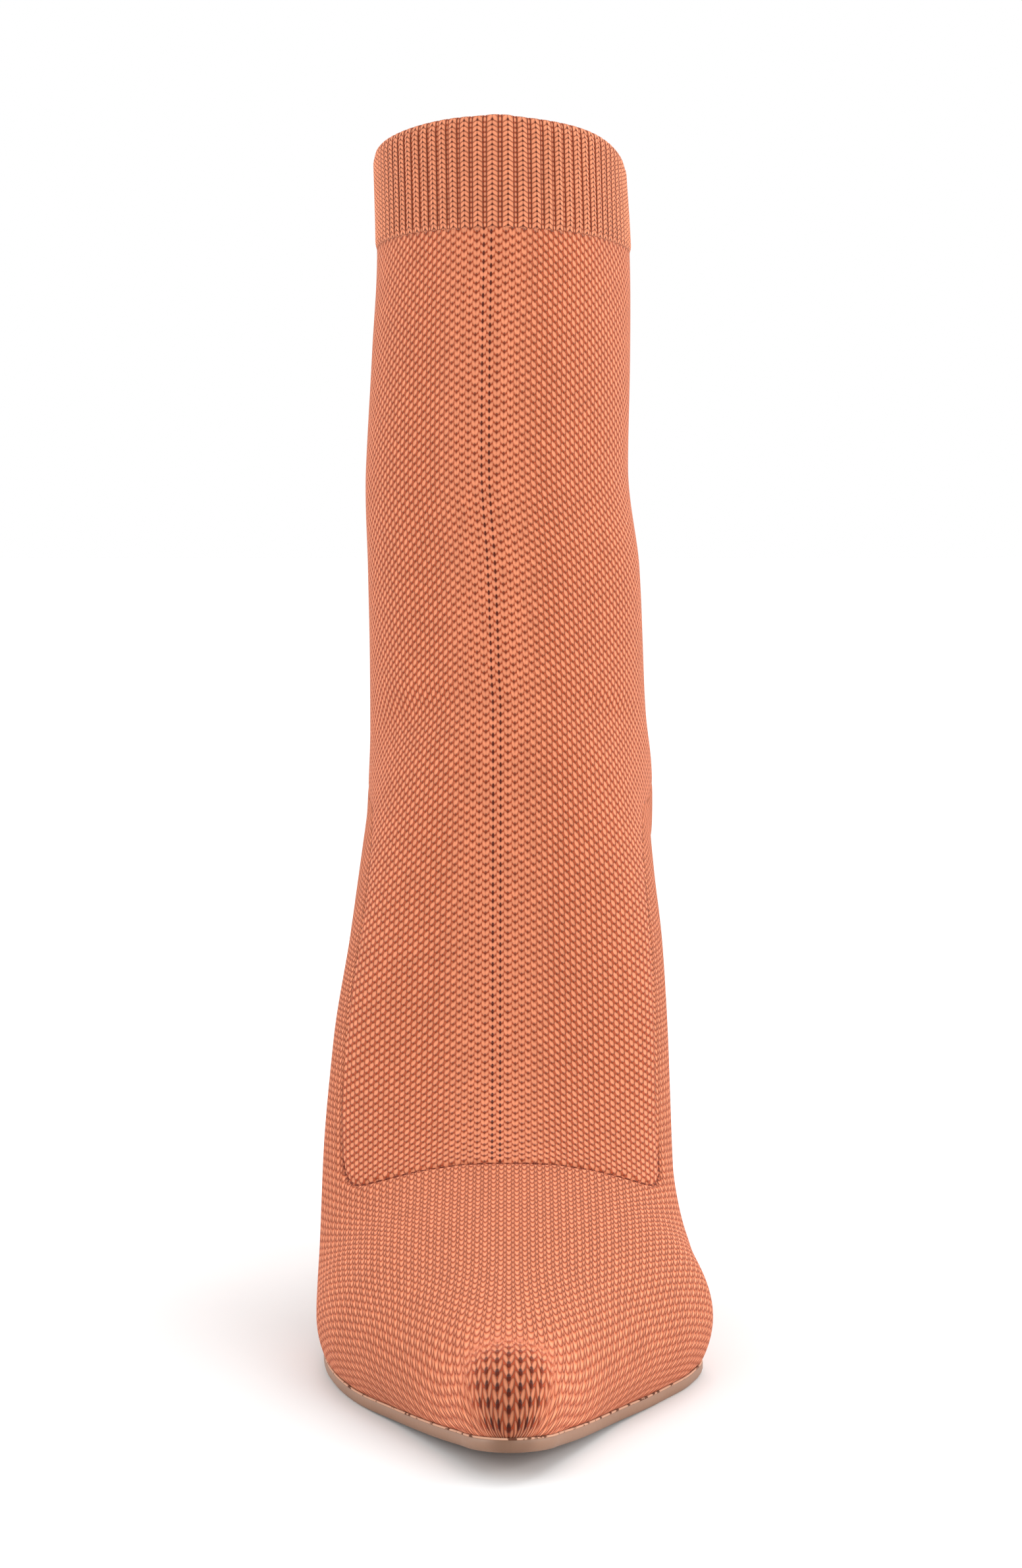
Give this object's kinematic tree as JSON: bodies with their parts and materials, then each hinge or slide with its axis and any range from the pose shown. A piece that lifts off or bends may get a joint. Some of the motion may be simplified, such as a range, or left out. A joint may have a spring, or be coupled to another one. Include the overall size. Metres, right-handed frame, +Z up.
{
  "type": "ankle boot",
  "caption": "Pull-on knitted sock ankle boot for the right foot, with a pointed toe, ribbed cuff, thin sole and slim high heel.",
  "frame": {"origin": "centre of the bounding box at the height of the floor", "axes": "the toe faces -Y, +X is the big-toe side, +Z is up"},
  "size_m": [0.086, 0.2446, 0.2735],
  "materials": {
    "knit": "matte orange-coral knit",
    "insole": "smooth pale lining leather",
    "sole": "satin tan sole leather with a dressed edge",
    "heel_cover": "matte knit drawn over the heel block",
    "top_piece": "matte dark brown"
  },
  "bodies": {
    "root": {"upper": "knit", "shaft": "knit", "insole": "insole", "outsole": "sole", "heel": "heel_cover", "top_piece": "top_piece"}
  },
  "joints": []
}
